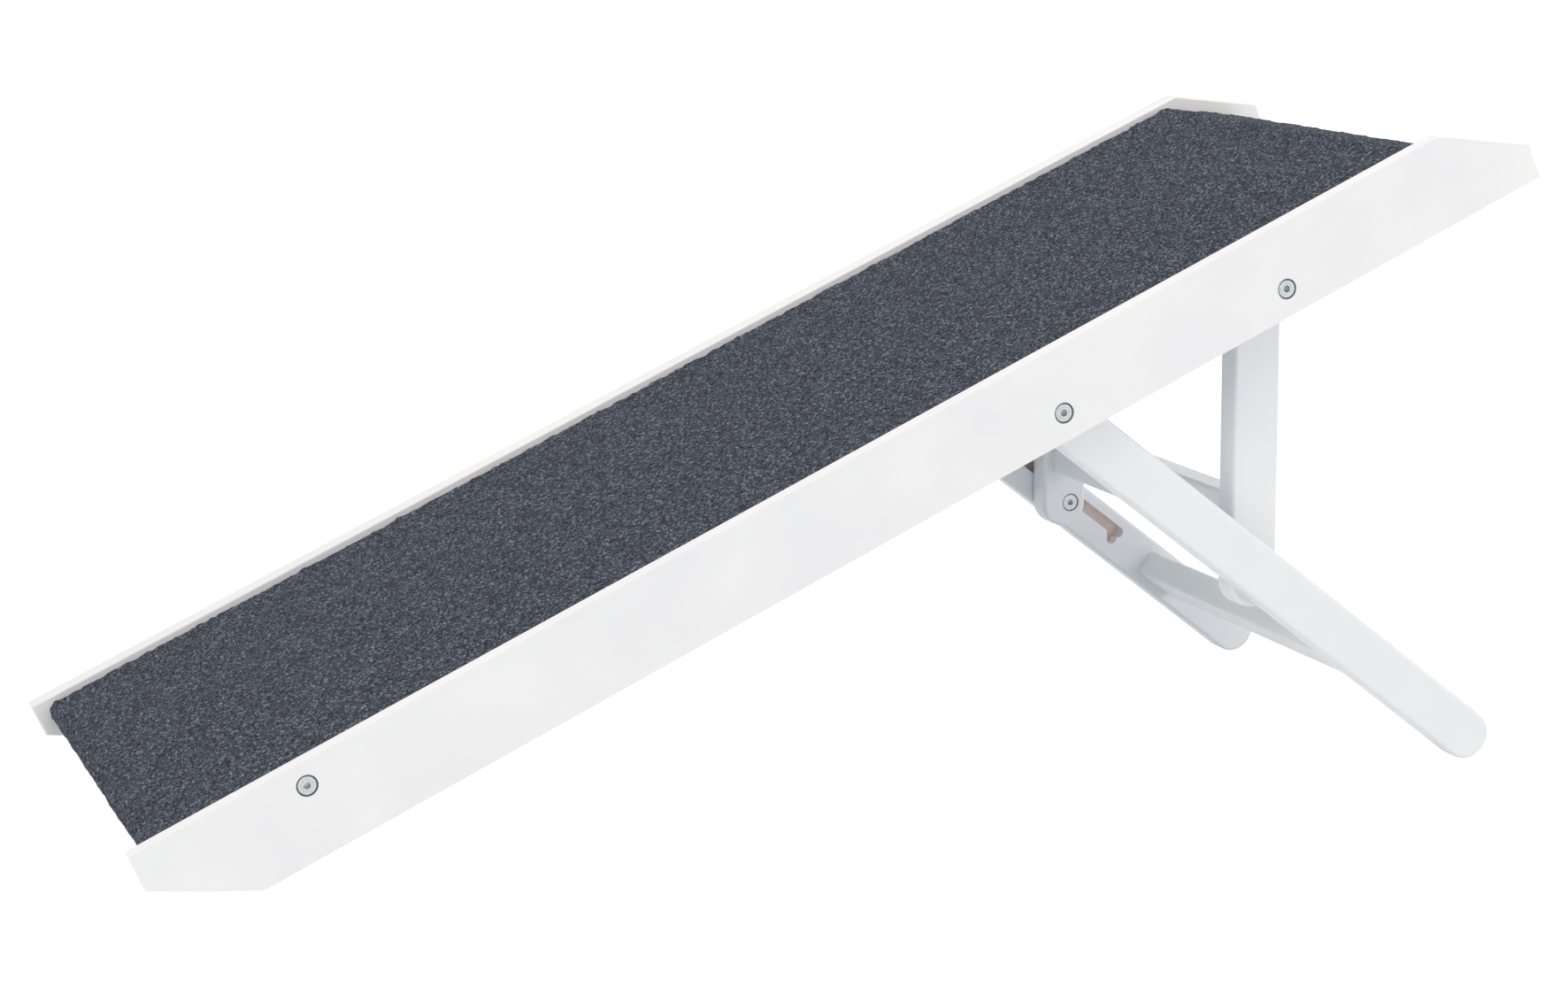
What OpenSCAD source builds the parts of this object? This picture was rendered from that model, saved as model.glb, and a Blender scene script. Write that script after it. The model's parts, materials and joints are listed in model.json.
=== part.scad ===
// Folding pet ramp: a carpeted deck between two side boards, held up by a leg frame whose
// height is set by a strut frame, with guide pins that drop into notches in the legs.
// Each piece is drawn in the ramp's own frame and then tilted onto the floor:
// x runs up the ramp from the boards' lower end, y runs across it from the middle plane,
// and z is square to the ramp, from the boards' lower edges. Right is the -y side.

/* [Ramp] */
// Length of the side boards
ramp_len = 900; // [820:10:1400]
// Width over the outer faces of the side boards
ramp_w = 336; // [280:2:500]
// Height of the side boards
board_h = 52.5; // [51:0.5:70]
// Thickness of the side boards
board_t = 12; // [10:1:18]
// Length that the slanted cut takes off each end of a side board
cut_len = 53.5; // [46:0.5:70]
// Height that the slanted cut takes off each end of a side board
cut_rise = 31.5; // [26:0.5:36]
// Radius of the eased edges of the side boards
edge_r = 1.5; // [0.5:0.25:2.5]

/* [Deck] */
// Thickness of the deck panel and the landing panel
deck_t = 12; // [10:0.5:14]
// Thickness of the carpet
carpet_t = 2.8; // [1.5:0.1:4]
// Depth of the carpet's surface below the side boards' upper edges
carpet_drop = 4; // [2:0.5:6]
// Distance from the side boards' lower end to the carpet's wrapped end
deck_inset = 8.3; // [4:0.1:20]
// Depth of the landing's carpet below the upper slanted cut
landing_drop = 8.7; // [5:0.1:11]
// Length of the landing's surface, from the fold to its wrapped end
landing_len = 55; // [46:1:60]
// Radius of the deck panel's lower end, under the carpet
nose_r = 5; // [2:0.5:5]
// Radius of the landing panel's end edges, under the carpet
wrap_r = 2; // [1:0.5:4]
// Length of carpet that is turned under the deck's lower end
wrap_low = 42; // [20:1:70]
// Length of carpet that is turned under the landing's end
wrap_high = 30; // [15:1:34]
// Distance from the side boards' lower end to the deck bolts
deck_bolt_x = 98.5; // [70:0.5:160]

/* [Leg frame] */
// Radius of the eased edges of legs, struts and cross boards
strip_edge_r = 2.5; // [0.5:0.25:3]
// Width of the legs
leg_w = 30; // [26:1:31]
// Thickness of the legs
leg_t = 18; // [15:1:22]
// Distance from a leg's pivot to the centre of its round foot
leg_len = 358.5; // [330:0.5:400]
// Distance from the side boards' upper end to the leg pivots
leg_pivot_back = 331.5; // [300:0.5:360]
// Distance from the leg pivots to the near edge of the leg cross board
leg_board_dist = 270; // [262:1:290]

/* [Strut frame] */
// Width of the struts
strut_w = 30; // [26:1:31]
// Thickness of the struts
strut_t = 18; // [15:1:22]
// Distance between a leg's pivot and its strut's pivot
pivot_gap = 154.5; // [146:0.5:162]
// Distance along a strut from its pivot to its guide bolt
strut_reach = 179.5; // [174:0.5:188]
// Distance from a strut's guide bolt on to the centre of its round end
strut_tail = 0.5; // [-2:0.5:4]
// Distance from the strut pivots to the near edge of the strut cross board
strut_board_dist = 128; // [110:1:134]

/* [Height notches] */
// Distance from a leg's pivot to its first notch, for the steepest setting
notch_first = 135.8; // [134:0.2:138]
// Distance from one notch to the next
notch_pitch = 51.5; // [46:0.5:56]
// Notch in use, from 0 for the steepest setting to 2 for the lowest
notch_used = 1; // [0:1:2]
// Offset of the guide channel and the guide bolts from the middle of leg and strut
guide_offset = 4.3; // [3.3:0.1:5.3]
// Depth of a notch, from the middle of the channel to the middle of its round seat
notch_drop = 6.2; // [5.9:0.1:6.9]
// Depth of the channel and its notches into a leg's inner face
channel_depth = 10; // [7:0.5:13]

/* [Cross boards] */
// Width of the cross boards
cross_w = 30; // [24:1:34]
// Thickness of the cross boards
cross_t = 18; // [15:1:22]

/* [Hardware] */
// Diameter of the sleeve nuts
sleeve_d = 8; // [7:0.5:9]
// Diameter of the flat bolt heads
head_d = 11; // [10.5:0.1:12.5]
// Thickness of the flat bolt heads
head_t = 1.8; // [1.2:0.1:2.4]
// Depth of the bolt heads below the surface
head_sink = 0.5; // [0.1:0.1:0.8]
// Size of the hexagon sockets across the flats
hex_key = 4; // [3:0.5:5]
// Diameter of the screws and of the deck and guide bolts' shanks
screw_d = 6; // [5:0.5:6]
// Diameter of the washers
washer_d = 20; // [16:1:24]
// Thickness of the washers, which keep board, leg and strut apart
washer_t = 0.9; // [0.6:0.1:1.5]
// Outer diameter of the spacer tubes
spacer_d = 16; // [12:1:20]
// Diameter of the barrel nuts
barrel_d = 10; // [9:0.5:12]
// Length of the barrel nuts
barrel_len = 9; // [7.5:0.5:9.5]
// Distance from the deck panel's edge to the barrel nuts' axis
barrel_in = 30; // [24:1:40]

/* [Dowels] */
// Diameter of the deck dowels
deck_dowel_d = 6; // [5:0.5:8]
// Diameter of the cross boards' dowels
frame_dowel_d = 8; // [6:0.5:9]
// Number of dowels along each edge of the deck panel
deck_dowels_per_edge = 4; // [2:1:6]

/* [Hidden] */

RIGHT = -1;
LEFT = 1;
WHITE = [0.94, 0.94, 0.93];
CARPET = [0.24, 0.26, 0.29];
BARE_BOARD = [0.74, 0.64, 0.52];
BEECH = [0.80, 0.64, 0.45];
STEEL = [0.72, 0.73, 0.74];
NYLON = [0.90, 0.90, 0.88];

// Clearances
glue_gap = 0.1;     // between the carpet and its panels
carpet_gap = 0.5;  // between the carpet and a side board
butt_gap = 0.05;    // at each glued butt joint
run_fit = 0.05;     // radial, round a sleeve or a bolt
play = 0.05;        // axial, at each side of a washer
head_fit = 0.5;     // radial, round a bolt head in its recess
guide_play = 0.6;   // radial, round a guide bolt in its channel
fold_inset = 0.7;   // from the boards' lower edges to the folded legs
over = 1;           // how far a cutter runs past the surface that it cuts

cut_angle = atan2(cut_rise, cut_len);

// Layers from the outside in, as distances from the middle plane
half_w = ramp_w / 2;
layer_gap = washer_t + 2 * play;
board_in = half_w - board_t;
leg_in = board_in - layer_gap - leg_t;
strut_in = leg_in - layer_gap - strut_t;

// Deck and landing levels
carpet_top = board_h - carpet_drop;
cover_t = carpet_t + glue_gap;
deck_top = carpet_top - cover_t;
deck_mid = deck_top - deck_t / 2;
deck_bottom = deck_top - deck_t;
deck_low = deck_inset + cover_t;
slope_dir = [cos(cut_angle), -sin(cut_angle)];
slope_up = [sin(cut_angle), cos(cut_angle)];
half_turn = tan(cut_angle / 2);

// Point where the deck panel's upper face meets the landing panel's
panel_drop = landing_drop + cover_t;
cut_corner = [ramp_len - cut_len, board_h];
panel_line = cut_corner - panel_drop * slope_up;
panel_fold = [panel_line.x - (deck_top - panel_line.y) / tan(cut_angle), deck_top];
landing_panel_len = landing_len + cover_t * half_turn - cover_t;

// Pivots, and the leg and strut angles below the ramp's direction in the notch in use
pivot_z = max(leg_w, strut_w) / 2 + fold_inset;
leg_pivot = [ramp_len - leg_pivot_back, pivot_z];
strut_pivot = leg_pivot + [pivot_gap, 0];
notch_y = guide_offset - notch_drop;
notch_x = [for (i = [0:2]) notch_first + i * notch_pitch];
leg_arm = norm([notch_x[notch_used], notch_y]);
strut_arm = norm([strut_reach, guide_offset]);
arm_angle = acos((pivot_gap ^ 2 + leg_arm ^ 2 - strut_arm ^ 2) / (2 * pivot_gap * leg_arm));
leg_angle = arm_angle + atan2(notch_y, notch_x[notch_used]);
strut_arm_angle = atan2(leg_arm * sin(arm_angle), leg_arm * cos(arm_angle) - pivot_gap);
strut_angle = strut_arm_angle + atan2(guide_offset, strut_reach);

// The channel runs from the guide bolt's place in the folded ramp to just past the last notch
channel_w = screw_d + 2 * guide_play;
channel_start = strut_reach - pivot_gap - 1;
channel_end = notch_x[2] + 1.7;

// The notches slope the way the struts push
notch_slope = notch_drop / tan(strut_angle - leg_angle);
notch_share = 0.85; // of its drop, so that a notch's slot starts below the channel's middle

// Tilt of the ramp: it stands on the edge of the floor cut, or on the toe past its own slope
foot_r = leg_w / 2;
foot = leg_pivot + leg_len * [cos(leg_angle), -sin(leg_angle)];
heel = [cut_len, 0];
toe = [0, cut_rise];
function tilt_about(p) = atan2(p.y - foot.y, foot.x - p.x) + asin(foot_r / norm(foot - p));
tilt = tilt_about(heel) <= cut_angle ? tilt_about(heel) : tilt_about(toe);

side_outline = [
    [0, board_h], toe, heel, [ramp_len, 0], [ramp_len, board_h - cut_rise], cut_corner
];

// Where the tilted outline lies, which sets the origin under the middle of the whole ramp
function tilted_x(p) = p.x * cos(tilt) - p.y * sin(tilt);
function tilted_z(p) = p.x * sin(tilt) + p.y * cos(tilt);
x_low = min([for (p = side_outline) tilted_x(p)]);
x_high = max(tilted_x(foot) + foot_r, max([for (p = side_outline) tilted_x(p)]));
floor_z = min([for (p = side_outline) tilted_z(p)]);

module on_floor() {
    translate([-(x_low + x_high) / 2, 0, -floor_z]) rotate([0, -tilt, 0]) children();
}

// Stands a flat piece up beside the deck. Its own z is then the distance outwards from the
// face at y_in, and its own y is square to the ramp.
module stand(side, y_in) {
    on_floor() mirror([0, side == LEFT ? 1 : 0, 0]) translate([0, -y_in, 0]) rotate([90, 0, 0]) children();
}

module on_leg(side) {
    stand(side, leg_in) translate(leg_pivot) rotate([0, 0, -leg_angle]) children();
}

module on_strut(side) {
    stand(side, strut_in) translate(strut_pivot) rotate([0, 0, -strut_angle]) children();
}

// Cutter that eases a straight edge lying along x, with the material at +y and +z
module edge_cutter(len, ease_r) {
    difference() {
        translate([-over, -over, -over]) cube([len + 2 * over, ease_r + over, ease_r + over]);
        translate([-2 * over, ease_r, ease_r]) rotate([0, 90, 0])
            cylinder(r = ease_r, h = len + 4 * over, $fn = 48);
    }
}

// Eases both faces' edges of a flat plate along the line from p to q, material on the left
module ease_edge(p, q, thick, ease_r) {
    run = q - p;
    translate(p) rotate([0, 0, atan2(run.y, run.x)]) {
        edge_cutter(norm(run), ease_r);
        translate([0, 0, thick]) mirror([0, 0, 1]) edge_cutter(norm(run), ease_r);
    }
}

// Flat plate with a convex outline, given anticlockwise, and eased edges
module eased_plate(outline, thick) {
    count = len(outline);
    difference() {
        linear_extrude(thick) polygon(outline);
        for (i = [0:count - 1]) ease_edge(outline[i], outline[(i + 1) % count], thick, edge_r);
    }
}

// Cutter that eases the rim of a round end on its outer half
module rim_cutter(r, ease_r) {
    rotate([0, 0, -90]) rotate_extrude(angle = 180, $fn = 96) difference() {
        translate([r - ease_r, -over]) square([ease_r + over, ease_r + over]);
        translate([r - ease_r, ease_r]) circle(ease_r, $fn = 48);
    }
}

// Flat strip with round ends, from the centre of one end at the origin to the other on +x
module eased_strip(len, w, thick) {
    difference() {
        linear_extrude(thick) union() {
            translate([0, -w / 2]) square([len, w]);
            circle(d = w, $fn = 96);
            translate([len, 0]) circle(d = w, $fn = 96);
        }
        ease_edge([0, -w / 2], [len, -w / 2], thick, strip_edge_r);
        ease_edge([len, w / 2], [0, w / 2], thick, strip_edge_r);
        for (flip = [0, 1]) translate([0, 0, flip * thick]) mirror([0, 0, flip]) {
            translate([len, 0, 0]) rim_cutter(w / 2, strip_edge_r);
            mirror([1, 0, 0]) rim_cutter(w / 2, strip_edge_r);
        }
    }
}

// Blind or through hole into a face at z = 0, going up
module hole(d, depth) {
    translate([0, 0, -over]) cylinder(d = d, h = depth + over, $fn = 64);
}

module head_recess() {
    hole(head_d + 2 * head_fit, head_sink + head_t + play);
}

// Turns a cutter for an inner face into one for the outer face
module from_outside(thick) {
    translate([0, 0, thick]) mirror([0, 0, 1]) children();
}

// Turned flat head with a bevelled rim and a hexagon socket; its top is at z = 0, facing down
module flat_head(shank_d, len) {
    bevel = head_t / 4;
    difference() {
        rotate_extrude($fn = 96) polygon([
            [0, 0], [head_d / 2 - bevel, 0], [head_d / 2, bevel], [head_d / 2, head_t],
            [shank_d / 2, head_t], [shank_d / 2, len], [0, len]
        ]);
        translate([0, 0, -over])
            cylinder(d = hex_key / cos(30), h = over + head_t + hex_key / 2, $fn = 6);
    }
}

// Dowel centres
last_dowel_margin = 40;
deck_first_dowel = deck_bolt_x;
deck_last_dowel = panel_fold.x - last_dowel_margin;
dowel_step = (deck_last_dowel - deck_first_dowel) / deck_dowels_per_edge;
deck_dowel_x = [for (i = [1:deck_dowels_per_edge]) deck_first_dowel + i * dowel_step];
landing_dowel_at = [for (share = [1 / 3, 2 / 3])
    panel_fold + share * landing_panel_len * slope_dir - deck_t / 2 * slope_up];
deck_dowel_out = board_t * 2 / 3;
deck_dowel_in = 16;
frame_dowel_in = 20;
cross_dowel_x = [cross_w / 4, cross_w * 3 / 4];
dowel_play = 0.5;

module side_board(side) {
    color(WHITE) stand(side, board_in) difference() {
        eased_plate(side_outline, board_t);
        for (p = [leg_pivot, strut_pivot]) translate(p) {
            hole(sleeve_d + 2 * run_fit, board_t + over);
            from_outside(board_t) head_recess();
        }
        translate([deck_bolt_x, deck_mid]) {
            hole(screw_d + 2 * run_fit, board_t + over);
            from_outside(board_t) head_recess();
        }
        for (x = deck_dowel_x) translate([x, deck_mid]) deck_dowel_hole(deck_dowel_out);
        for (p = landing_dowel_at) translate(p) deck_dowel_hole(deck_dowel_out);
    }
}

module deck_dowel_hole(depth) {
    hole(deck_dowel_d + 2 * run_fit, depth + dowel_play / 2);
}

function arc(c, r, from, to, steps = 8) =
    [for (i = [0:steps]) c + r * [cos(from + (to - from) * i / steps), sin(from + (to - from) * i / steps)]];

landing_end_top = panel_fold + (landing_panel_len - wrap_r) * slope_dir - wrap_r * slope_up;
landing_end_bottom = landing_end_top - (deck_t - 2 * wrap_r) * slope_up;

// Line at a distance outside the panels, from the carpet's lower hem round to its upper hem
function wrap_line(out) = concat(
    [[deck_low + wrap_low, deck_bottom - out]],
    arc([deck_low + nose_r, deck_bottom + nose_r], nose_r + out, 270, 180),
    arc([deck_low + nose_r, deck_top - nose_r], nose_r + out, 180, 90),
    arc(panel_fold, out, 90, 90 - cut_angle),
    arc(landing_end_top, wrap_r + out, 90 - cut_angle, -cut_angle),
    arc(landing_end_bottom, wrap_r + out, -cut_angle, -90 - cut_angle),
    [landing_end_bottom - (wrap_high - wrap_r) * slope_dir - (wrap_r + out) * slope_up]
);

function turned(points) = [for (i = [len(points) - 1:-1:0]) points[i]];

// Extrudes a profile drawn in x and z across the ramp
module across(w) {
    on_floor() rotate([90, 0, 0]) linear_extrude(w, center = true) children();
}

module carpet() {
    color(CARPET) across(2 * (board_in - carpet_gap))
        polygon(concat(wrap_line(cover_t), turned(wrap_line(glue_gap))));
}

mitre_x = panel_fold.x - deck_t * half_turn;

module deck_panel() {
    color(BARE_BOARD) difference() {
        across(2 * (board_in - butt_gap)) polygon(concat(
            arc([deck_low + nose_r, deck_top - nose_r], nose_r, 90, 180),
            arc([deck_low + nose_r, deck_bottom + nose_r], nose_r, 180, 270),
            [[mitre_x - butt_gap, deck_bottom], [panel_fold.x - butt_gap, deck_top]]
        ));
        for (side = [RIGHT, LEFT]) {
            stand(side, board_in) from_outside(0) {
                for (x = deck_dowel_x) translate([x, deck_mid]) deck_dowel_hole(deck_dowel_in);
                translate([deck_bolt_x, deck_mid]) hole(screw_d + 2 * run_fit, barrel_in + barrel_d);
            }
            barrel_place(side) translate([0, 0, -deck_t / 2 - over])
                cylinder(d = barrel_d + 2 * run_fit, h = deck_t / 2 + over + barrel_len / 2 + play, $fn = 64);
        }
    }
}

// Puts a barrel nut's middle on its bolt's axis, with its own axis square to the deck
module barrel_place(side) {
    on_floor() translate([deck_bolt_x, side * (board_in - barrel_in), deck_mid]) children();
}

module landing_panel() {
    color(BARE_BOARD) difference() {
        across(2 * (board_in - butt_gap)) polygon(concat(
            [panel_fold, [mitre_x, deck_bottom]],
            arc(landing_end_bottom, wrap_r, -90 - cut_angle, -cut_angle),
            arc(landing_end_top, wrap_r, -cut_angle, 90 - cut_angle)
        ));
        for (side = [RIGHT, LEFT]) stand(side, board_in) from_outside(0)
            for (p = landing_dowel_at) translate(p) deck_dowel_hole(deck_dowel_in);
    }
}

module deck_dowel() {
    out = deck_dowel_out;
    color(BEECH) translate([0, 0, -deck_dowel_in])
        cylinder(d = deck_dowel_d, h = deck_dowel_in + out, $fn = 64);
}

module deck_dowels() {
    for (side = [RIGHT, LEFT]) stand(side, board_in)
        for (x = deck_dowel_x) translate([x, deck_mid]) deck_dowel();
}

module landing_dowels() {
    for (side = [RIGHT, LEFT]) stand(side, board_in)
        for (p = landing_dowel_at) translate(p) deck_dowel();
}

module deck_bolt(side) {
    reach = board_t + barrel_in + barrel_d / 2 + 2;
    color(STEEL) stand(side, board_in) translate([deck_bolt_x, deck_mid])
        from_outside(board_t - head_sink) flat_head(screw_d, reach - head_sink);
}

module deck_barrel_nuts() {
    for (side = [RIGHT, LEFT]) color(STEEL) barrel_place(side) difference() {
        cylinder(d = barrel_d, h = barrel_len, center = true, $fn = 64);
        rotate([90, 0, 0])
            cylinder(d = screw_d + 2 * run_fit, h = barrel_d + 2 * over, center = true, $fn = 64);
    }
}

// Outline of a slot with round ends, from one point to another on a leg's inner face
module slot_outline(p, q) {
    for (c = [p, q]) translate(c) circle(d = channel_w, $fn = 64);
    run = q - p;
    translate(p) rotate(atan2(run.y, run.x)) translate([0, -channel_w / 2]) square([norm(run), channel_w]);
}

// Cutter for the guide channel with its notches
module channel() {
    translate([0, 0, -over]) linear_extrude(channel_depth + over) union() {
        slot_outline([channel_start, guide_offset], [channel_end, guide_offset]);
        for (x = notch_x)
            slot_outline([x, notch_y] + notch_share * [-notch_slope, notch_drop], [x, notch_y]);
    }
}

module leg(side) {
    color(WHITE) on_leg(side) difference() {
        eased_strip(leg_len, leg_w, leg_t);
        hole(sleeve_d + 2 * run_fit, leg_t + over);
        head_recess();
        channel();
        for (x = cross_dowel_x) translate([leg_board_dist + x, 0])
            hole(frame_dowel_d + 2 * run_fit, leg_t * 2 / 3 + dowel_play / 2);
    }
}

module strut(side) {
    color(WHITE) on_strut(side) difference() {
        eased_strip(strut_reach + strut_tail, strut_w, strut_t);
        hole(sleeve_d + 2 * run_fit, strut_t + over);
        head_recess();
        translate([strut_reach, guide_offset]) {
            hole(screw_d + 2 * run_fit, strut_t + over);
            head_recess();
        }
        for (x = cross_dowel_x) translate([strut_board_dist + x, 0])
            hole(frame_dowel_d + 2 * run_fit, strut_t * 2 / 3 + dowel_play / 2);
    }
}

// Cross board with eased long edges, from an inner face at z = 0 down to the other frame side
module cross_board(at, inner) {
    span = 2 * inner;
    translate([at, -cross_t / 2, -span]) difference() {
        translate([0, 0, butt_gap])
            linear_extrude(span - 2 * butt_gap) square([cross_w, cross_t]);
        for (x = [0, cross_w], y = [0, cross_t])
            translate([x, y, 0]) mirror([x > 0 ? 1 : 0, 0, 0]) mirror([0, y > 0 ? 1 : 0, 0])
                rotate([0, -90, 0]) mirror([0, 0, 1]) edge_cutter(span, strip_edge_r);
        for (x = cross_dowel_x) translate([x, cross_t / 2, 0]) {
            cross_dowel_hole();
            from_outside(span) cross_dowel_hole();
        }
    }
}

module cross_dowel_hole() {
    hole(frame_dowel_d + 2 * run_fit, frame_dowel_in + dowel_play / 2);
}

module leg_cross_board() {
    color(WHITE) on_leg(RIGHT) cross_board(leg_board_dist, leg_in);
}

module strut_cross_board() {
    color(WHITE) on_strut(RIGHT) cross_board(strut_board_dist, strut_in);
}

module frame_dowels(at, thick) {
    for (x = cross_dowel_x) color(BEECH) translate([at + x, 0, -frame_dowel_in])
        cylinder(d = frame_dowel_d, h = frame_dowel_in + thick * 2 / 3, $fn = 64);
}

module leg_board_dowels() {
    for (side = [RIGHT, LEFT]) on_leg(side) frame_dowels(leg_board_dist, leg_t);
}

module strut_board_dowels() {
    for (side = [RIGHT, LEFT]) on_strut(side) frame_dowels(strut_board_dist, strut_t);
}

// The guide bolt ends level with the washer gap, so that the strut can turn past the leg
module guide_bolt(side) {
    color(STEEL) on_strut(side) translate([strut_reach, guide_offset, head_sink])
        flat_head(screw_d, strut_t + layer_gap / 3 - head_sink);
}

// A sleeve nut and a screw clamp the layers from the side board's outer face to an inner face
sleeve_stop = 3;
screw_grip = 14;

module pivot_sleeve(side, pivot, inner) {
    grip = half_w - inner;
    len = grip - head_sink - head_t - sleeve_stop;
    color(STEEL) stand(side, inner) translate(pivot) from_outside(grip - head_sink) difference() {
        flat_head(sleeve_d, len);
        from_outside(len) hole(screw_d + 2 * run_fit, screw_grip);
    }
}

module pivot_screw(side, pivot, inner) {
    color(STEEL) stand(side, inner) translate(pivot) translate([0, 0, head_sink])
        flat_head(screw_d, head_t + sleeve_stop + screw_grip - 1);
}

module ring(d, len) {
    difference() {
        cylinder(d = d, h = len, $fn = 96);
        hole(sleeve_d + 2 * run_fit, len + over);
    }
}

module leg_washer(side) {
    color(NYLON) stand(side, board_in) translate([leg_pivot.x, leg_pivot.y, -play - washer_t])
        ring(washer_d, washer_t);
}

module strut_washer(side) {
    color(NYLON) stand(side, strut_in) translate([strut_pivot.x, strut_pivot.y, strut_t + play])
        ring(washer_d, washer_t);
}

module strut_spacer(side) {
    len = leg_t + layer_gap - play;
    color(NYLON) stand(side, board_in) translate([strut_pivot.x, strut_pivot.y, -play - len])
        ring(spacer_d, len);
}

side_board(RIGHT);  // side_board_right
side_board(LEFT);  // side_board_left
deck_panel();
landing_panel();
carpet();
deck_bolt(RIGHT);  // deck_bolt_right
deck_bolt(LEFT);  // deck_bolt_left
deck_barrel_nuts();
deck_dowels();
landing_dowels();
leg(RIGHT);  // leg_right
leg(LEFT);  // leg_left
leg_cross_board();
leg_board_dowels();
strut(RIGHT);  // strut_right
strut(LEFT);  // strut_left
strut_cross_board();
strut_board_dowels();
guide_bolt(RIGHT);  // guide_bolt_right
guide_bolt(LEFT);  // guide_bolt_left
pivot_sleeve(RIGHT, leg_pivot, leg_in);  // leg_pivot_sleeve_right
pivot_sleeve(LEFT, leg_pivot, leg_in);  // leg_pivot_sleeve_left
pivot_screw(RIGHT, leg_pivot, leg_in);  // leg_pivot_screw_right
pivot_screw(LEFT, leg_pivot, leg_in);  // leg_pivot_screw_left
leg_washer(RIGHT);  // leg_washer_right
leg_washer(LEFT);  // leg_washer_left
pivot_sleeve(RIGHT, strut_pivot, strut_in);  // strut_pivot_sleeve_right
pivot_sleeve(LEFT, strut_pivot, strut_in);  // strut_pivot_sleeve_left
pivot_screw(RIGHT, strut_pivot, strut_in);  // strut_pivot_screw_right
pivot_screw(LEFT, strut_pivot, strut_in);  // strut_pivot_screw_left
strut_spacer(RIGHT);  // strut_spacer_right
strut_spacer(LEFT);  // strut_spacer_left
strut_washer(RIGHT);  // strut_washer_right
strut_washer(LEFT);  // strut_washer_left
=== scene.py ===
"""Folding pet ramp: white lacquered boards, charcoal carpet, zinc-plated bolts."""

import bmesh
import bpy
import json
import math
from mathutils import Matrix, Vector, noise

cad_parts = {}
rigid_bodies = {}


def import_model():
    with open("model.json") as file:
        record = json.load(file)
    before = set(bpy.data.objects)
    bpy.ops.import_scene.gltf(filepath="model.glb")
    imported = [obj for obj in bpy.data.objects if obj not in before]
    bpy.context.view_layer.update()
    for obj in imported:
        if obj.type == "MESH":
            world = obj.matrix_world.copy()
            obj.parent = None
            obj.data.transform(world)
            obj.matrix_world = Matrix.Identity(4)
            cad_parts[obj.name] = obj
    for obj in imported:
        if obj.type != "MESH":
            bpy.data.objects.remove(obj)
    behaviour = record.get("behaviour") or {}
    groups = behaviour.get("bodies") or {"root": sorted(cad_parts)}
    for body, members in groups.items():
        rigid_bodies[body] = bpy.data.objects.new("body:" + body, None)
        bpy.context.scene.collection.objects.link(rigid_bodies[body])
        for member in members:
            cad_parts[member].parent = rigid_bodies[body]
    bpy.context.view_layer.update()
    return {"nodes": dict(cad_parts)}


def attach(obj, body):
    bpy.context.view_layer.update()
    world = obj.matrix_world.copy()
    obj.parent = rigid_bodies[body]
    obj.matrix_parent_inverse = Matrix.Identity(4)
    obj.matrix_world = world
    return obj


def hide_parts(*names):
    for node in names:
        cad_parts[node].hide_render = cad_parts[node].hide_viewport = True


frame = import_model()
# The loaded solids come in selected
for node in bpy.context.scene.objects:
    node.select_set(False)

MM = 0.001

# Ramp's own frame: x up the ramp from the boards' lower end, z square to it from their lower edges
TILT = math.radians(24.886243)
FRAME_X = -397.1688 * MM
FRAME_Z = -22.5138 * MM


def on_floor(x, y, z):
    """A point of the ramp's own frame, in mm, where it stands on the floor, in metres."""
    x, y, z = x * MM, y * MM, z * MM
    return Vector((
        x * math.cos(TILT) - z * math.sin(TILT) + FRAME_X,
        y,
        x * math.sin(TILT) + z * math.cos(TILT) + FRAME_Z,
    ))


# Camera, fitted to the photograph, and light

camera_data = bpy.data.cameras.new("camera")
camera_data.lens = 75.62
camera_data.sensor_width = 36
camera_data.clip_start = 0.05
camera = bpy.data.objects.new("camera", camera_data)
camera.location = (-0.70413, -1.81235, 0.54025)
camera.rotation_euler = [math.radians(a) for a in (78.9485, -0.6381, -21.3537)]
bpy.context.scene.collection.objects.link(camera)
bpy.context.scene.camera = camera
bpy.context.scene.view_settings.view_transform = "Standard"

LAMP_TARGET = Vector((0.1, 0.0, 0.15))
WARM = (1.0, 0.83, 0.76)
COOL = (0.9, 0.92, 1.0)


def softbox(name, place, size, power, tint):
    """A square studio softbox that points at the middle of the ramp."""
    light = bpy.data.lights.new(name, "AREA")
    light.shape = "SQUARE"
    light.size = size
    light.energy = power
    light.color = tint
    lamp = bpy.data.objects.new(name, light)
    lamp.location = place
    lamp.rotation_euler = (LAMP_TARGET - Vector(place)).to_track_quat("-Z", "Y").to_euler()
    bpy.context.scene.collection.objects.link(lamp)


softbox("right_softbox", (2.4, -2.2, 1.2), 1.6, 20.5, WARM)
softbox("left_softbox", (-2.75, -1.6, 1.1), 1.6, 27.5, WARM)
softbox("overhead_softbox", (0.25, -0.7, 3.1), 1.8, 42.5, WARM)
softbox("back_softbox", (2.3, 2.4, 1.2), 1.6, 8, COOL)


# Materials

def paint(code):
    """sRGB hex to a linear colour."""
    channels = [int(code[i:i + 2], 16) / 255 for i in (1, 3, 5)]
    return [c / 12.92 if c <= 0.04045 else ((c + 0.055) / 1.055) ** 2.4 for c in channels] + [1.0]


def add(tree, kind, inputs=None, **settings):
    """Adds a node, with its settings, and its inputs as values or links."""
    node = tree.nodes.new(kind)
    for key, value in settings.items():
        setattr(node, key, value)
    for key, value in (inputs or {}).items():
        if isinstance(value, bpy.types.NodeSocket):
            tree.links.new(value, node.inputs[key])
        else:
            node.inputs[key].default_value = value
    return node


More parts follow.
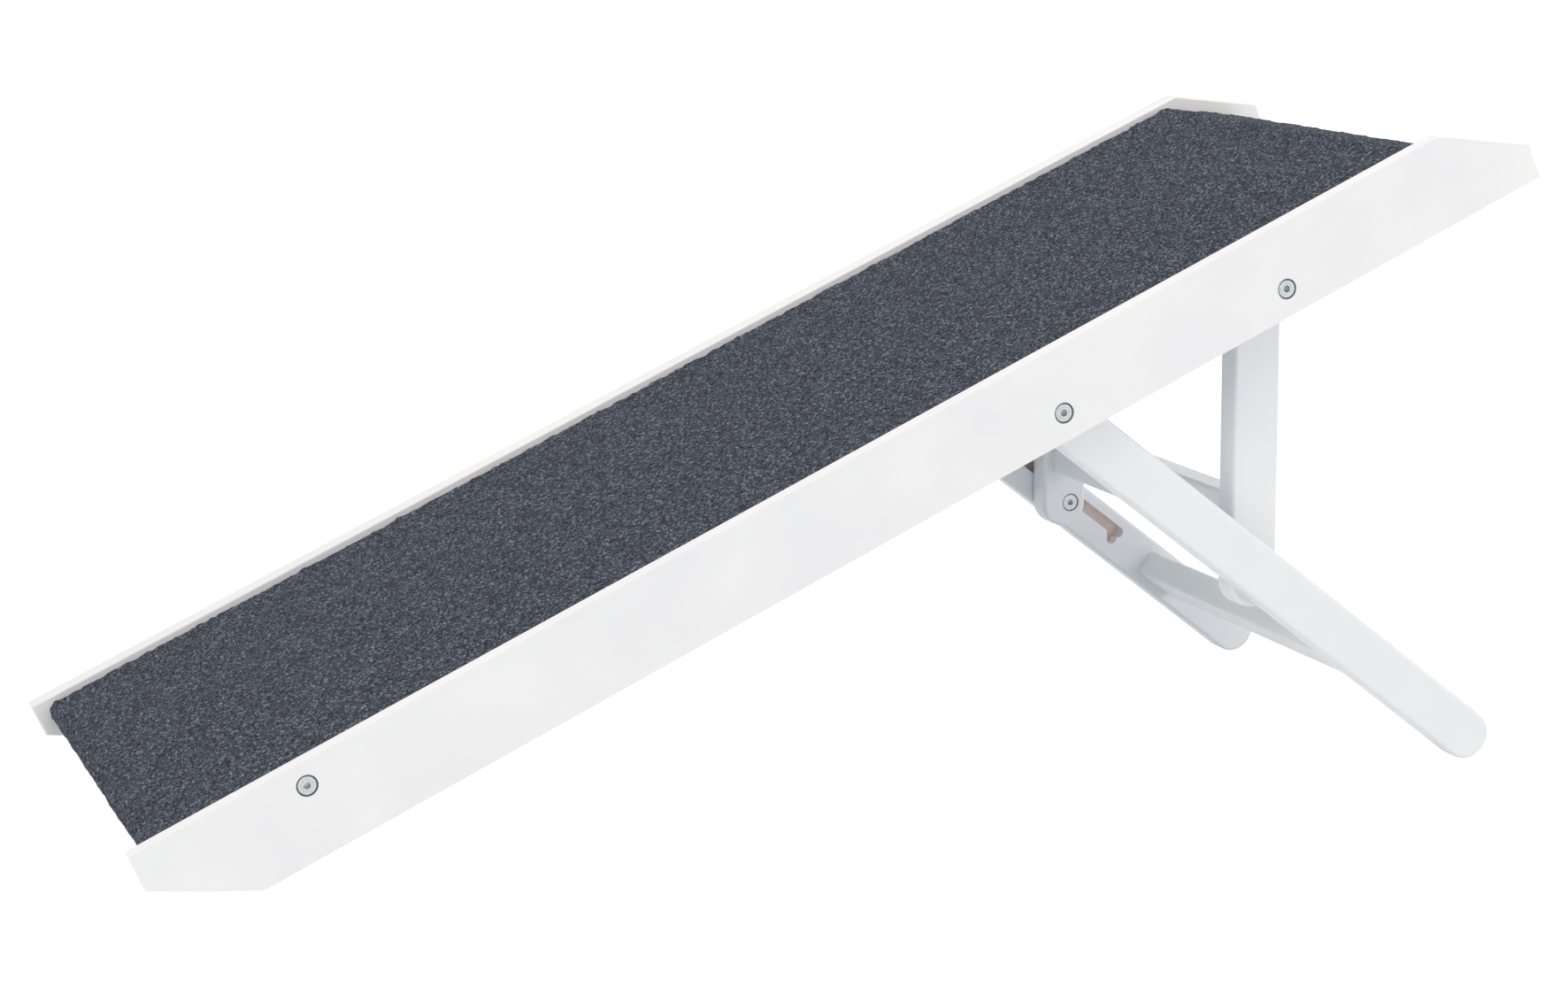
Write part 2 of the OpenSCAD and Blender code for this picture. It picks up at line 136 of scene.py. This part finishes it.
def new_material(name):
    """An empty material with its shader, and where its patterns lie on the ramp."""
    material = bpy.data.materials.new(name)
    material.use_nodes = True
    tree = material.node_tree
    tree.nodes.clear()
    shader = add(tree, "ShaderNodeBsdfPrincipled")
    add(tree, "ShaderNodeOutputMaterial", {"Surface": shader.outputs[0]})
    return material, tree, shader, add(tree, "ShaderNodeTexCoord").outputs["Object"]


def per_mm(size):
    """Scale of a noise whose features are this many mm wide, on coordinates in metres."""
    return 1 / (size * MM)


def layered(tree, tone, rows):
    """Colours laid over a tone, each growing to its most as its source goes from low to high."""
    for source, low, high, most, colour in rows:
        share = add(tree, "ShaderNodeMapRange", {0: source, 1: low, 2: high, 4: most})
        mix = add(tree, "ShaderNodeMix", {0: share.outputs[0], 6: tone, 7: paint(colour)},
                  data_type="RGBA")
        tone = mix.outputs[2]
    return tone


def fibreboard_colour(tree, place):
    """Pressed wood fibre: fine pale and brown fibres under 1 mm, drawn at 1.5 mm to show."""
    fibres = add(tree, "ShaderNodeTexNoise", {"Vector": place, "Scale": per_mm(1.5), "Detail": 3.0})
    clouds = add(tree, "ShaderNodeTexNoise", {"Vector": place, "Scale": per_mm(30), "Detail": 2.0})
    return layered(tree, paint("#f2dfd7"), (
        (fibres.outputs[0], 0.35, 0.65, 1.0, "#fdf1eb"),
        (clouds.outputs[0], 0.3, 0.7, 0.35, "#faebe4")))


def lacquer_finish(tree, shader, place, low="#efeff0", high="#f4f4f3"):
    """Sprayed satin lacquer: even white with a fine orange peel, 1 to 2 mm across."""
    clouds = add(tree, "ShaderNodeTexNoise", {"Vector": place, "Scale": per_mm(70), "Detail": 2.0})
    gloss = add(tree, "ShaderNodeTexNoise", {"Vector": place, "Scale": per_mm(9), "Detail": 2.0})
    level = add(tree, "ShaderNodeMapRange", {0: gloss.outputs[0], 1: 0.3, 2: 0.7, 3: 0.36, 4: 0.44})
    tree.links.new(level.outputs[0], shader.inputs["Roughness"])
    peel = add(tree, "ShaderNodeTexNoise", {"Vector": place, "Scale": per_mm(1.6), "Detail": 1.0})
    bump = add(tree, "ShaderNodeBump", {
        "Strength": 0.25, "Distance": 0.04 * MM, "Height": peel.outputs[0]})
    tree.links.new(bump.outputs[0], shader.inputs["Normal"])
    shader.inputs["IOR"].default_value = 1.5
    return layered(tree, paint(low), ((clouds.outputs[0], 0.3, 0.7, 1.0, high),))


def satin_lacquer():
    """Fibreboard sprayed with white satin lacquer: soft highlights, no grain."""
    material, tree, shader, place = new_material("satin_lacquer")
    tree.links.new(lacquer_finish(tree, shader, place), shader.inputs["Base Color"])
    return material


def from_axes(tree, place, axes):
    """Distance from the nearest of some axes that run along Y, or 1 m if they are all further."""
    flat = add(tree, "ShaderNodeVectorMath", {0: place, 1: (1, 0, 1)}, operation="MULTIPLY")
    nearest = 1.0
    for axis in axes:
        away = add(tree, "ShaderNodeVectorMath", {0: flat.outputs[0], 1: (axis.x, 0, axis.z)},
                   operation="DISTANCE")
        closer = add(tree, "ShaderNodeMath", {0: nearest, 1: away.outputs["Value"]},
                     operation="MINIMUM")
        nearest = closer.outputs[0]
    return nearest


# Recesses for bolt heads in the side boards, 12 mm across
RECESS_R = 6.06 * MM


def lacquer_with_shaded_recesses(axes):
    """Lacquered side board with its bolt recesses painted grey: painted shade in the gap round each
    bolt head.
    """
    material, tree, shader, place = new_material("lacquer_with_shaded_recesses")
    inside = add(tree, "ShaderNodeMath", {0: from_axes(tree, place, axes), 1: RECESS_R},
                 operation="LESS_THAN")
    # Recess walls painted grey: painted shade in the gap round each bolt head
    colour = add(tree, "ShaderNodeMix", {
        0: inside.outputs[0], 6: lacquer_finish(tree, shader, place), 7: paint("#b4b6b9")},
        data_type="RGBA")
    tree.links.new(colour.outputs[2], shader.inputs["Base Color"])
    return material


# Strips of the frames: where their inner faces lie from the middle plane, and how thick they are
LEG_IN = 137.0 * MM
STRUT_IN = 118.0 * MM
STRIP = 18.0 * MM
# What is cut into a strip lies below the paint on its faces and between its rounded edges,
# and starts this far above its pivot
PAINT_SKIN = 0.35 * MM
HALF_FACE = 12.4 * MM
CUTS_START = -12 * MM
# White spray covers a cut's walls this deep, and is gone at a channel's floor
SPRAYED = 4 * MM
BARE = 9.9 * MM


def strip_lacquer(name, pivot, angle, inner, cuts_end):
    """Lacquered strip, its channel cut before the last coat: bare fibreboard under thin spray."""
    material, tree, shader, place = new_material(name)
    c, s = math.cos(angle), math.sin(angle)
    shift = (-(pivot[0] * c - pivot[2] * s), 0.0, -(pivot[0] * s + pivot[2] * c))
    along = add(tree, "ShaderNodeMapping", {
        "Vector": place, "Location": shift, "Rotation": (0.0, -angle, 0.0)})
    axes = add(tree, "ShaderNodeSeparateXYZ", {"Vector": along.outputs[0]})
    depth = add(tree, "ShaderNodeMath", {0: axes.outputs[1]}, operation="ABSOLUTE")
    width = add(tree, "ShaderNodeMath", {0: axes.outputs[2]}, operation="ABSOLUTE")
    bare = 1.0
    for value, limit, side in (
            (depth, inner + PAINT_SKIN, "GREATER_THAN"),
            (depth, inner + STRIP - PAINT_SKIN, "LESS_THAN"),
            (width, HALF_FACE, "LESS_THAN"),
            (axes, CUTS_START, "GREATER_THAN"),
            (axes, cuts_end, "LESS_THAN")):
        within = add(tree, "ShaderNodeMath", {0: value.outputs[0], 1: limit}, operation=side)
        both = add(tree, "ShaderNodeMath", {0: bare, 1: within.outputs[0]}, operation="MULTIPLY")
        bare = both.outputs[0]
    bared = add(tree, "ShaderNodeMapRange", {
        0: depth.outputs[0], 1: inner + SPRAYED, 2: inner + BARE})
    cut = add(tree, "ShaderNodeMix", {
        0: bared.outputs[0], 6: paint("#f4f2f1"), 7: fibreboard_colour(tree, place)},
        data_type="RGBA")
    colour = add(tree, "ShaderNodeMix", {
        0: bare, 6: lacquer_finish(tree, shader, place, "#ecedef", "#f1f1f3"), 7: cut.outputs[2]},
        data_type="RGBA")
    tree.links.new(colour.outputs[2], shader.inputs["Base Color"])
    return material


def papered_panel():
    """Fibreboard faced with white melamine paper, as on a cabinet's back: smooth, slightly grey."""
    material, tree, shader, place = new_material("papered_panel")
    clouds = add(tree, "ShaderNodeTexNoise", {"Vector": place, "Scale": per_mm(50), "Detail": 2.0})
    pores = add(tree, "ShaderNodeTexNoise", {"Vector": place, "Scale": per_mm(2.2), "Detail": 3.0})
    tone = layered(tree, paint("#e3e4e4"), (
        (clouds.outputs[0], 0.3, 0.7, 1.0, "#e9eaea"),
        (pores.outputs[0], 0.58, 0.7, 0.5, "#d9dadb")))
    tree.links.new(tone, shader.inputs["Base Color"])
    bump = add(tree, "ShaderNodeBump", {
        "Strength": 0.2, "Distance": 0.05 * MM, "Height": pores.outputs[0]})
    tree.links.new(bump.outputs[0], shader.inputs["Normal"])
    shader.inputs["Roughness"].default_value = 0.5
    return material


def tufted_carpet():
    """Tufted carpet, cut pile: matt charcoal, a tangle of pale, mid and nearly black tufts.

    Its fibres are far under 1 mm thick. They are drawn as tufts of 1.5 mm, bent out of line, with
    specks of 1.1 mm, so that they show.
    """
    material, tree, shader, place = new_material("tufted_carpet")
    wander = add(tree, "ShaderNodeTexNoise", {"Vector": place, "Scale": per_mm(3), "Detail": 2.0})
    pushed = add(tree, "ShaderNodeVectorMath", {
        0: wander.outputs["Color"], 1: (2.6 * MM, 2.6 * MM, 2.6 * MM)}, operation="MULTIPLY")
    loose = add(tree, "ShaderNodeVectorMath", {0: place, 1: pushed.outputs[0]}, operation="ADD")
    tufts = add(tree, "ShaderNodeTexVoronoi", {"Vector": loose.outputs[0], "Scale": per_mm(1.5)})
    kinds = add(tree, "ShaderNodeSeparateColor", {"Color": tufts.outputs["Color"]})
    fibres = add(tree, "ShaderNodeTexNoise", {
        "Vector": loose.outputs[0], "Scale": per_mm(1.1), "Detail": 2.0, "Roughness": 0.7})
    clouds = add(tree, "ShaderNodeTexNoise", {"Vector": place, "Scale": per_mm(12), "Detail": 3.0})
    # Mid tufts, paler and darker clouds, pale tufts, pale and dark specks, and near-black gaps between
    # tufts: painted shade deep in the pile
    tone = layered(tree, paint("#0d1118"), (
        (kinds.outputs[0], 0.32, 0.8, 1.0, "#565f6f"),
        (clouds.outputs[0], 0.42, 0.66, 0.38, "#464c5a"),
        (clouds.outputs[0], 0.5, 0.32, 0.45, "#0a0d12"),
        (kinds.outputs[1], 0.76, 0.9, 0.95, "#9da7ba"),
        (fibres.outputs[0], 0.53, 0.63, 0.8, "#858fa2"),
        (fibres.outputs[0], 0.48, 0.37, 0.95, "#05070a"),
        (tufts.outputs["Distance"], 0.45, 0.75, 0.85, "#06080c")))
    tree.links.new(tone, shader.inputs["Base Color"])
    rounded = add(tree, "ShaderNodeMapRange", {
        0: tufts.outputs["Distance"], 1: 0.0, 2: 0.8, 3: 1.0, 4: 0.0})
    height = add(tree, "ShaderNodeMath", {0: rounded.outputs[0], 1: fibres.outputs[0]},
                 operation="ADD")
    bump = add(tree, "ShaderNodeBump", {
        "Strength": 1.0, "Distance": 1.3 * MM, "Height": height.outputs[0]})
    tree.links.new(bump.outputs[0], shader.inputs["Normal"])
    shader.inputs["Roughness"].default_value = 0.95
    shader.inputs["Specular IOR Level"].default_value = 0.15
    shader.inputs["Sheen Weight"].default_value = 0.15
    shader.inputs["Sheen Roughness"].default_value = 0.25
    shader.inputs["Sheen Tint"].default_value = paint("#e4efff")
    return material


def zinc_steel(name, axes=()):
    """Zinc-plated steel, tumbled: bright grey metal with a soft, faintly mottled shine.

    Round the axes of its bolts it shows turning marks, about 0.1 mm apart and drawn at 1.5 mm to show.
    Its socket is painted an even pale grey, painted light in the socket's hollow, and its rim is
    painted darker, painted shade in the gap round the head.
    """
    material, tree, shader, place = new_material(name)
    mottle = add(tree, "ShaderNodeTexNoise", {"Vector": place, "Scale": per_mm(2.5), "Detail": 3.0})
    tone = layered(tree, paint("#bac3c7"), ((mottle.outputs[0], 0.35, 0.65, 1.0, "#cdd5d8"),))
    level = add(tree, "ShaderNodeMapRange", {0: mottle.outputs[0], 1: 0.3, 2: 0.7, 3: 0.22, 4: 0.34})
    tree.links.new(level.outputs[0], shader.inputs["Roughness"])
    if axes:
        radius = from_axes(tree, place, axes)
        turns = add(tree, "ShaderNodeMath", {0: radius, 1: 2 * math.pi / (1.5 * MM)},
                    operation="MULTIPLY")
        wave = add(tree, "ShaderNodeMath", {0: turns.outputs[0]}, operation="SINE")
        # Turning marks; socket, painted light in its hollow; rim, painted shade in the gap round the
        # head
        tone = layered(tree, tone, (
            (wave.outputs[0], -0.2, 0.9, 0.5, "#828c92"),
            (radius, 2.5 * MM, 2.2 * MM, 0.7, "#c3c8cb"),
            (radius, 5.3 * MM, 5.5 * MM, 0.6, "#94989d")))
    tree.links.new(tone, shader.inputs["Base Color"])
    shader.inputs["Metallic"].default_value = 1.0
    return material


def turned_beech():
    """Beech dowel: pale pinkish brown, with fine darker flecks along it."""
    material, tree, shader, place = new_material("turned_beech")
    stretched = add(tree, "ShaderNodeMapping", {"Vector": place, "Scale": (1.0, 0.12, 1.0)})
    flecks = add(tree, "ShaderNodeTexNoise", {
        "Vector": stretched.outputs[0], "Scale": per_mm(0.9), "Detail": 3.0})
    tone = layered(tree, paint("#b98f66"), ((flecks.outputs[0], 0.4, 0.65, 1.0, "#d9b68e"),))
    tree.links.new(tone, shader.inputs["Base Color"])
    shader.inputs["Roughness"].default_value = 0.6
    return material


def nylon():
    """Natural nylon, turned: milky white with a dull shine."""
    material, tree, shader, place = new_material("nylon")
    haze = add(tree, "ShaderNodeTexNoise", {"Vector": place, "Scale": per_mm(6), "Detail": 2.0})
    tone = layered(tree, paint("#e2e2de"), ((haze.outputs[0], 0.3, 0.7, 1.0, "#ecece8"),))
    tree.links.new(tone, shader.inputs["Base Color"])
    shader.inputs["Roughness"].default_value = 0.45
    shader.inputs["IOR"].default_value = 1.53
    return material


# Directions along leg and strut, as angles below the floor's +X
LEG_ANGLE = math.radians(61.928834) - TILT
STRUT_ANGLE = math.radians(113.640281) - TILT
# Axes of the bolts in the side boards
PIVOT_HEIGHT = 15.7
DECK_BOLT = on_floor(98.5, 0, 39.6)
LEG_PIVOT = on_floor(568.5, 0, PIVOT_HEIGHT)
STRUT_PIVOT = on_floor(723, 0, PIVOT_HEIGHT)
# Guide bolt on the strut: its distance along it from the pivot, and off its middle, in mm
GUIDE_REACH = 179.5
GUIDE_OFFSET = 4.3
ALONG_STRUT = Vector((math.cos(STRUT_ANGLE), 0, -math.sin(STRUT_ANGLE)))
OFF_STRUT = Vector((math.sin(STRUT_ANGLE), 0, math.cos(STRUT_ANGLE)))
GUIDE_BOLT = STRUT_PIVOT + GUIDE_REACH * MM * ALONG_STRUT + GUIDE_OFFSET * MM * OFF_STRUT

BOARD_BOLTS = [DECK_BOLT, LEG_PIVOT, STRUT_PIVOT]
# Distances from the pivots past which nothing is cut into the strips
LEG_CUTS_END = 340 * MM
STRUT_CUTS_END = 186 * MM

LACQUER = satin_lacquer()
CARPET = tufted_carpet()
# Words in the nodes' names, and the finish that they mean
FINISHES = (
    (("leg_right", "leg_left"),
     strip_lacquer("leg_lacquer", LEG_PIVOT, LEG_ANGLE, LEG_IN, LEG_CUTS_END)),
    (("strut_right", "strut_left"),
     strip_lacquer("strut_lacquer", STRUT_PIVOT, STRUT_ANGLE, STRUT_IN, STRUT_CUTS_END)),
    (("dowels",), turned_beech()),
    (("washer", "spacer"), nylon()),
    (("barrel_nuts",), zinc_steel("zinc_steel")),
    (("bolt", "sleeve", "screw"), zinc_steel("turned_zinc_steel", BOARD_BOLTS + [GUIDE_BOLT])),
    (("side_board",), lacquer_with_shaded_recesses(BOARD_BOLTS)),
    (("deck_panel", "landing_panel"), papered_panel()))


def finish_of(name):
    """The finish of a node, by the first row that has a word of its name."""
    for words, finish in FINISHES:
        if any(word in name for word in words):
            return finish
    return LACQUER


for name, node in frame["nodes"].items():
    node.data.materials.clear()
    node.data.materials.append(finish_of(name))


# Carpet, in mm in the ramp's own frame

HALF_CARPET = 155.5
CARPET_T = 2.8
# From a panel's face to the carpet's outer face
COVER = 2.9
DECK_TOP = 45.6
DECK_T = 12.0
DECK_BOTTOM = DECK_TOP - DECK_T
DECK_LOW = 11.2
# Rounded edges of the deck panel's lower end and of the landing panel's end
NOSE_R = 5.0
WRAP_R = 2.0
# Straight stretches under the panels
LOWER_HEM = 42
UPPER_HEM = 28

# Side boards' upper cut: its start, its slope, and directions down it and square to it
CUT_START = Vector((846.5, 52.5))
CUT = math.atan2(31.5, 53.5)
SLOPE = Vector((math.cos(CUT), -math.sin(CUT)))
SLOPE_UP = Vector((math.sin(CUT), math.cos(CUT)))
# Landing: its carpet's depth below that cut, and its length
LANDING_DEPTH = 8.7
LANDING = 55
PANEL_LINE = CUT_START - (LANDING_DEPTH + COVER) * SLOPE_UP
FOLD = Vector((PANEL_LINE.x - (DECK_TOP - PANEL_LINE.y) / math.tan(CUT), DECK_TOP))
PANEL_LEN = LANDING + COVER * math.tan(CUT / 2) - COVER
END_TOP = FOLD + (PANEL_LEN - WRAP_R) * SLOPE - WRAP_R * SLOPE_UP
END_BOTTOM = END_TOP - (DECK_T - 2 * WRAP_R) * SLOPE_UP

# Mesh steps along the carpet, close ones from the nose's end down and from the fold on
STEP = 2.3
CLOSE_STEP = 1.3
NOSE_END = DECK_LOW + 12
FOLD_START = FOLD.x - 8
# Points across it: close ones at the cut edges, then wide steps to the middle
EDGE_STEP = 1.2
EDGE_POINTS = 9
HALF_WIDE_STEPS = 41

# Bends are lumpier than the flat, up to this far from them, and so is the whole landing
NOSE_REACH = 14
FOLD_REACH = 20
LANDING_TURN = 0.6
# Lumps: their width, their height on the flat, and what rims and bends add to it
LUMPS = ((21, 0.25, 0.0, 0.6), (4.5, 0.22, 0.85, 0.35), (1.9, 0.2, 0.75, 0.45))
# Rims are this wide, and the pile sinks over the whole sheet and more at its cut edges
RIM = 7
PILE_DROP = 0.1
RIM_DROP = 0.45


def bend(centre, radius, start, stop):
    """Points round a bend, from one angle to another in degrees, about 1 mm apart."""
    steps = max(3, round(abs(math.radians(stop - start)) * radius))
    points = []
    for i in range(steps + 1):
        angle = math.radians(start + (stop - start) * i / steps)
        points.append(Vector((
            centre[0] + radius * math.cos(angle), centre[1] + radius * math.sin(angle))))
    return points


def wrap_line(out):
    """The carpet in side view at a height over the panels, from its lower hem to its upper hem."""
    cut = math.degrees(CUT)
    line = [Vector((DECK_LOW + LOWER_HEM, DECK_BOTTOM - out))]
    line += bend((DECK_LOW + NOSE_R, DECK_BOTTOM + NOSE_R), NOSE_R + out, 270, 180)
    line += bend((DECK_LOW + NOSE_R, DECK_TOP - NOSE_R), NOSE_R + out, 180, 90)
    line += bend(FOLD, out, 90, 90 - cut)
    line += bend(END_TOP, WRAP_R + out, 90 - cut, -cut)
    line += bend(END_BOTTOM, WRAP_R + out, -cut, -90 - cut)
    line += [END_BOTTOM - UPPER_HEM * SLOPE - (WRAP_R + out) * SLOPE_UP]
    return line


def spaced(line):
    """The same line in even steps, closer at its ends, and its length."""
    points, k, length = [line[0]], 0, 0.0
    while k < len(line) - 1:
        here = points[-1]
        left = CLOSE_STEP if here.x < NOSE_END or here.x > FOLD_START else STEP
        while k < len(line) - 1 and (line[k + 1] - here).length <= left:
            left -= (line[k + 1] - here).length
            here = line[k + 1]
            k += 1
        if k < len(line) - 1:
            here = here + left * (line[k + 1] - here).normalized()
        length += (here - points[-1]).length
        points.append(here)
    return points, length


def places_across():
    """Positions across the carpet, from one cut edge to the other."""
    edge = [HALF_CARPET - EDGE_STEP * i for i in range(EDGE_POINTS)]
    middle = [edge[-1] * (1 - i / HALF_WIDE_STEPS) for i in range(1, 2 * HALF_WIDE_STEPS)]
    return [-y for y in edge] + [-y for y in middle] + edge[::-1]


def make_carpet():
    """One sheet, wrapped round both panels, with uneven pile and cut edges that wander a little."""
    line, length = spaced(wrap_line(COVER - CARPET_T / 2))
    places = places_across()
    last = len(places) - 1
    mesh = bmesh.new()
    rows = []
    for i, p in enumerate(line):
        a, b = line[max(i - 1, 0)], line[min(i + 1, len(line) - 1)]
        out = Vector((-(b - a).y, (b - a).x)).normalized()
        turn = max(0.0, 1 - abs(p.x - DECK_LOW) / NOSE_REACH)
        turn += max(0.0, 1 - abs(p.x - FOLD.x) / FOLD_REACH)
        if p.x > FOLD.x:
            turn = max(turn, LANDING_TURN)
        top, bottom = [], []
        for j, y in enumerate(places):
            seed = Vector((p.x, y, p.y))
            if j in (0, last):
                # Cut edges wander by up to 1 mm over some 9 mm, and by 0.3 mm over 2 mm
                wander = 0.1 - 0.9 * noise.noise(Vector((p.x * 0.11, p.y * 0.11, j))) ** 2
                y += (1 if j else -1) * (wander + 0.3 * noise.noise(seed / 2.1))
            rim = max(0.0, 1 - (HALF_CARPET - abs(y)) / RIM)
            lump = sum((flat + at_rim * rim + at_bend * turn) * noise.noise(seed / width)
                       for width, flat, at_rim, at_bend in LUMPS)
            outside = p + out * (CARPET_T / 2 - PILE_DROP + lump - RIM_DROP * rim ** 4)
            inside = p - out * (CARPET_T / 2)
            top.append(mesh.verts.new(on_floor(outside.x, y, outside.y)))
            bottom.append(mesh.verts.new(on_floor(inside.x, y, inside.y)))
        rows.append((top, bottom))
    for (top, bottom), (top_next, bottom_next) in zip(rows, rows[1:]):
        for j in range(last):
            mesh.faces.new((top[j], top[j + 1], top_next[j + 1], top_next[j]))
            mesh.faces.new((bottom[j + 1], bottom[j], bottom_next[j], bottom_next[j + 1]))
        for j in (0, last):
            mesh.faces.new((top[j], top_next[j], bottom_next[j], bottom[j]))
    for top, bottom in (rows[0], rows[-1]):
        for j in range(last):
            mesh.faces.new((top[j], bottom[j], bottom[j + 1], top[j + 1]))
    bmesh.ops.recalc_face_normals(mesh, faces=mesh.faces[:])
    data = bpy.data.meshes.new("ramp_carpet")
    mesh.to_mesh(data)
    mesh.free()
    for face in data.polygons:
        face.use_smooth = True
    piece = bpy.data.objects.new("ramp_carpet", data)
    bpy.context.scene.collection.objects.link(piece)
    data.materials.append(CARPET)
    return piece, length


carpet, carpet_length = make_carpet()
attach(carpet, "ramp")
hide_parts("carpet")


# Studio

def seen(tree):
    """1 for what the camera sees, also by way of metal or glass, and 0 for what lights the ramp."""
    path = add(tree, "ShaderNodeLightPath")
    either = path.outputs["Is Camera Ray"]
    for kind in ("Is Glossy Ray", "Is Transmission Ray"):
        either = add(tree, "ShaderNodeMath", {0: either, 1: path.outputs[kind]},
                     operation="MAXIMUM").outputs[0]
    return either


def studio_floor():
    """Pale paper sweep that shows as white to the camera and keeps the ramp's soft shadow."""
    bpy.ops.mesh.primitive_plane_add(size=40, location=(0, 0, 0))
    floor = bpy.context.object
    floor.name = "studio_floor"
    material = bpy.data.materials.new("paper_sweep")
    material.use_nodes = True
    tree = material.node_tree
    tree.nodes.clear()
    lit = add(tree, "ShaderNodeBsdfDiffuse", {"Color": (0.79, 0.84, 0.87, 1)})
    half = add(tree, "ShaderNodeBsdfDiffuse", {"Color": (0.38, 0.34, 0.32, 1)})
    glow = add(tree, "ShaderNodeEmission", {"Color": (1, 1, 1, 1), "Strength": 0.91})
    white = add(tree, "ShaderNodeAddShader", {0: half.outputs[0], 1: glow.outputs[0]})
    mixed = add(tree, "ShaderNodeMixShader", {0: seen(tree), 1: lit.outputs[0], 2: white.outputs[0]})
    add(tree, "ShaderNodeOutputMaterial", {"Surface": mixed.outputs[0]})
    floor.data.materials.append(material)


def studio_world():
    """White surroundings: full white where they are seen, and a plain level where they light."""
    world = bpy.data.worlds.new("studio")
    bpy.context.scene.world = world
    world.use_nodes = True
    tree = world.node_tree
    tree.nodes.clear()
    light = add(tree, "ShaderNodeBackground", {"Color": (0.81, 0.93, 0.98, 1), "Strength": 0.62})
    white = add(tree, "ShaderNodeBackground", {"Color": (1, 1, 1, 1), "Strength": 1.0})
    mixed = add(tree, "ShaderNodeMixShader", {0: seen(tree), 1: light.outputs[0], 2: white.outputs[0]})
    add(tree, "ShaderNodeOutputWorld", {"Surface": mixed.outputs[0]})


studio_floor()
studio_world()
